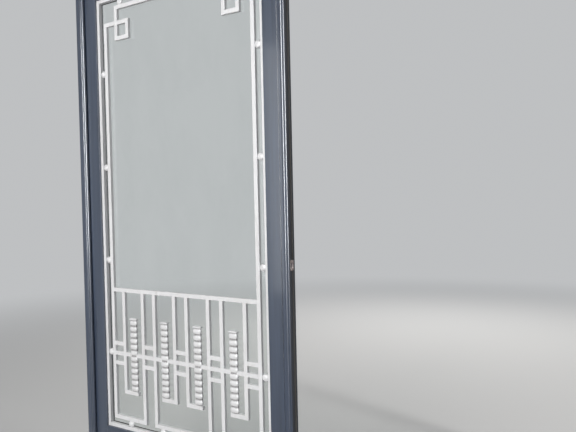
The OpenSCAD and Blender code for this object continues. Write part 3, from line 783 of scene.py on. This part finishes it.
def ribbed_column(x_mid):
    """Rings of a soft-cornered rectangle, |x|^3.2 + |y|^3.2 = 1, whose half width and front are drawn in
    by side_cut and front_cut times groove_depth, and whose back stays flat."""
    per_rib = 10
    t = np.arange(column_ribs * per_rib + 1) / per_rib
    cx, cy = soft_corners(3.2) * np.cos(around), soft_corners(3.2) * np.sin(around)
    half_w = column_w / 2 - side_cut * groove_depth(t)
    front = np.where(cy < 0, 1.0, 0.0)
    depth = half_d - front_cut * groove_depth(t)[:, None] * front[None, :]
    z = columns_low.z + t / column_ribs * ribs_h
    rings = np.stack([x_mid + half_w[:, None] * cx, y_mid + depth * cy,
                      np.broadcast_to(z[:, None], depth.shape)], -1)
    return closed_tube(rings)


def column_cap(x_mid):
    """A thin slab with rounded edges: rings of a rectangle with soft corners, |x|^8 + |y|^8 = 1, drawn in
    towards the top and bottom by cap_eased (1 - sqrt(1 - t t)), with t from -1 to 1."""
    t = np.linspace(-1, 1, 9)
    draw = cap_eased * (1 - np.sqrt(np.clip(1 - t ** 2, 0, 1)))
    half_w = column_w / 2 + cap_out
    z = columns_high.z - cap_h / 2 + t * cap_h / 2
    rings = np.stack([x_mid + (half_w - draw)[:, None] * soft_corners(8) * np.cos(around),
                      y_mid + (half_d - draw)[:, None] * soft_corners(8) * np.sin(around),
                      np.broadcast_to(z[:, None], (len(t), len(around)))], -1)
    return closed_tube(rings)


ribbed = stack([ribbed_column(x) for x in column_x])
points, faces = stack([ribbed] + [column_cap(x) for x in column_x])
rib_share = (points[:, 2] - columns_low.z) / ribs_h * column_ribs
in_ribs = np.arange(len(points)) < len(ribbed[0])
groove_value = np.where(in_ribs, groove_depth(rib_share), 0.0).astype(np.float32)
# The ribs carry grey painted shade in their grooves.
grooved_silver = silver_paint("silver_white_ribs", grooved=True)
both_sets = hang("ribbed_columns", points, faces, grooved_silver)
for piece, side in zip(both_sets, ("left", "right")):
    piece.data.attributes.new("groove", "FLOAT", "POINT").data.foreach_set("value", groove_value)
    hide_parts(side + "_grille_columns")


# SPACERS
# Flattened cast balls hold the outer bars off the border. They are welded to both, so each ball
# is flat where it meets a bar. They stand in rows up both sides, and at the foot and the top.
spacers_low, spacers_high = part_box("left_grille_spacers")
ball_r, ball_half, gap_half = 0.014, (spacers_high.y - spacers_low.y) / 2, 0.0125
ball_y = (spacers_low.y + spacers_high.y) / 2
foot_up, rail_up, spacer_pitch = 0.145, 0.303, 0.389


def flattened_ball(x, z, upright):
    """An oblate ball, r = ball_r cos(a), y = ball_half sin(a), with its sides cut off flat at gap_half.
    The cuts face along X, or along Z where it is upright."""
    a = np.linspace(-np.pi / 2, np.pi / 2, 17)[1:-1]
    angle = np.linspace(0, 2 * np.pi, 32, endpoint=False)
    u = ball_r * np.cos(a)[:, None] * np.cos(angle)
    v = ball_r * np.cos(a)[:, None] * np.sin(angle)
    y = np.broadcast_to((ball_half * np.sin(a))[:, None], u.shape)
    u = np.clip(u, -gap_half, gap_half)
    if upright:
        u, v = v, -u
    points, faces = closed_tube(np.stack([x + u, ball_y + y, z + v], -1))
    return points, reversed_faces(faces)


middle_rail = columns_low.z - bar_w / 2 + rail_up - foot_up
side_z = np.arange(middle_rail, fret_high.z - bar_w / 2 - 2 * pair_pitch, spacer_pitch)
side_x = (fret_low.x - gap_half, fret_high.x + gap_half)
bar_x = [fret_low.x + bar_w / 2 + ((i + 1) // 2) * pair_pitch + (i // 2) * wide_pitch for i in range(10)]
end_x = ((bar_x[0] + bar_x[2]) / 2, (bar_x[7] + bar_x[9]) / 2,
         bar_x[3] + pair_pitch / 2, bar_x[6] - pair_pitch / 2)
end_z = (border_low.z + border_bar + gap_half, border_high.z - border_bar - gap_half)
side_balls = [flattened_ball(x, z, False) for x in side_x for z in side_z]
end_balls = [flattened_ball(x, z, True) for x in end_x for z in end_z]
points, faces = stack(side_balls + end_balls)
for piece, side in zip(hang("spacer_balls", points, faces, silver), ("left", "right")):
    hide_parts(side + "_grille_spacers")


# STRIKE PLATE
# A small brass plate let into the meeting edge of the left leaf at the height of the lock, with
# a hole for the latch and a screw above and below it. Its brass has gone dull and pinkish grey.
strike_bare, strike_tarnished, strike_rubbed = (0.42, 0.36, 0.34), (0.20, 0.16, 0.155), (0.50, 0.44, 0.42)
strike_brass = aged_brass("dull_strike_brass", strike_bare, strike_tarnished, strike_rubbed, 0.48, 0.62)
dress(strike_brass, "left_strike_plate")
mid_edge = (strike_low.y + strike_high.y) / 2
strike_mid = (strike_low.z + strike_high.z) / 2
strike_screw_r, strike_screw_off = 0.0030, 0.0138
strike_spots = [(strike_high.x, mid_edge, strike_mid + side * strike_screw_off) for side in (-1, 1)]
points, faces = screws(strike_spots, (1, 0, 0), strike_screw_r, seed=13)
hang("strike_screws", points, faces, strike_brass, sides=("left",))


# LOCK AND KNOBS
# A mortise lock with a brass face plate in the meeting edge of the right leaf, worked by a turned
# brass knob on each side. The knobs stand on round roses.
knob_low, knob_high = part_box("right_knobs")
knob_mid_y, knob_mid_z = (knob_low.y + knob_high.y) / 2, (knob_low.z + knob_high.z) / 2
leaf_x_low, leaf_x_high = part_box("right_meeting_stile")[0].x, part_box("right_meeting_stile")[1].x
knob_out = knob_high.x - leaf_x_high
rose_mm = [(0, 28), (0.6, 28), (2.4, 27.4), (3.4, 26.0), (4.0, 23.5), (4.2, 19.0)]
neck_mm = [(5.0, 13.5), (7, 11.4), (12, 9.6), (20, 8.8), (28, 9.4), (34, 11.6)]
ball_mm = [(38, 15.0), (40.5, 19.5), (43, 23.2), (47, 25.7), (51, 26.0), (55, 24.6),
           (58.5, 21.0), (60.8, 15.5), (61.8, 8.0), (62, 1.0)]


def turned_knob(face_x, side):
    """A knob turned about X, on the side 1 or -1 of the leaf's face at face_x. Its outline runs through
    (distance out, radius) points for the rose, the neck and the ball, evenly spaced along it. Each of
    its 90 rings is then averaged with its neighbours by 1/4, 1/2, 1/4, which rounds the corners."""
    outline = np.array(rose_mm + neck_mm + ball_mm)
    out, radius = outline[:, 0] / outline[-1, 0], outline[:, 1] / 1000
    marks, fine = np.linspace(0, 1, len(outline)), np.linspace(0, 1, 90)
    curves = np.interp(fine, marks, out), np.interp(fine, marks, radius)
    kernel = np.array([0.25, 0.5, 0.25])
    out, radius = (np.concatenate([[c[0]], np.convolve(c, kernel, "valid"), [c[-1]]]) for c in curves)
    angle = np.linspace(0, 2 * np.pi, 48, endpoint=False)
    x = face_x + side * out * knob_out
    rings = np.stack([np.broadcast_to(x[:, None], (len(fine), len(angle))),
                      knob_mid_y + radius[:, None] * np.cos(angle),
                      knob_mid_z + radius[:, None] * np.sin(angle)], -1)
    return closed_tube(rings if side > 0 else rings[:, ::-1])


dress(brass, "right_lock")
points, faces = stack([turned_knob(leaf_x_high, 1), turned_knob(leaf_x_low, -1)])
knobs = raise_piece("right_turned_knobs", points, faces, "right_leaf", brass)
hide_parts("right_knobs")
lock_low, lock_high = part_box("right_lock")
lock_mid = ((lock_low.x + lock_high.x) / 2, (lock_low.z + lock_high.z) / 2)
lock_screw_r, lock_screw_off = 0.0036, 0.062
lock_spots = [(lock_mid[0], right_edge, lock_mid[1] + side * lock_screw_off) for side in (-1, 1)]
points, faces = screws(lock_spots, (0, 1, 0), lock_screw_r, seed=17)
raise_piece("right_lock_screws", points, faces, "right_leaf", brass)
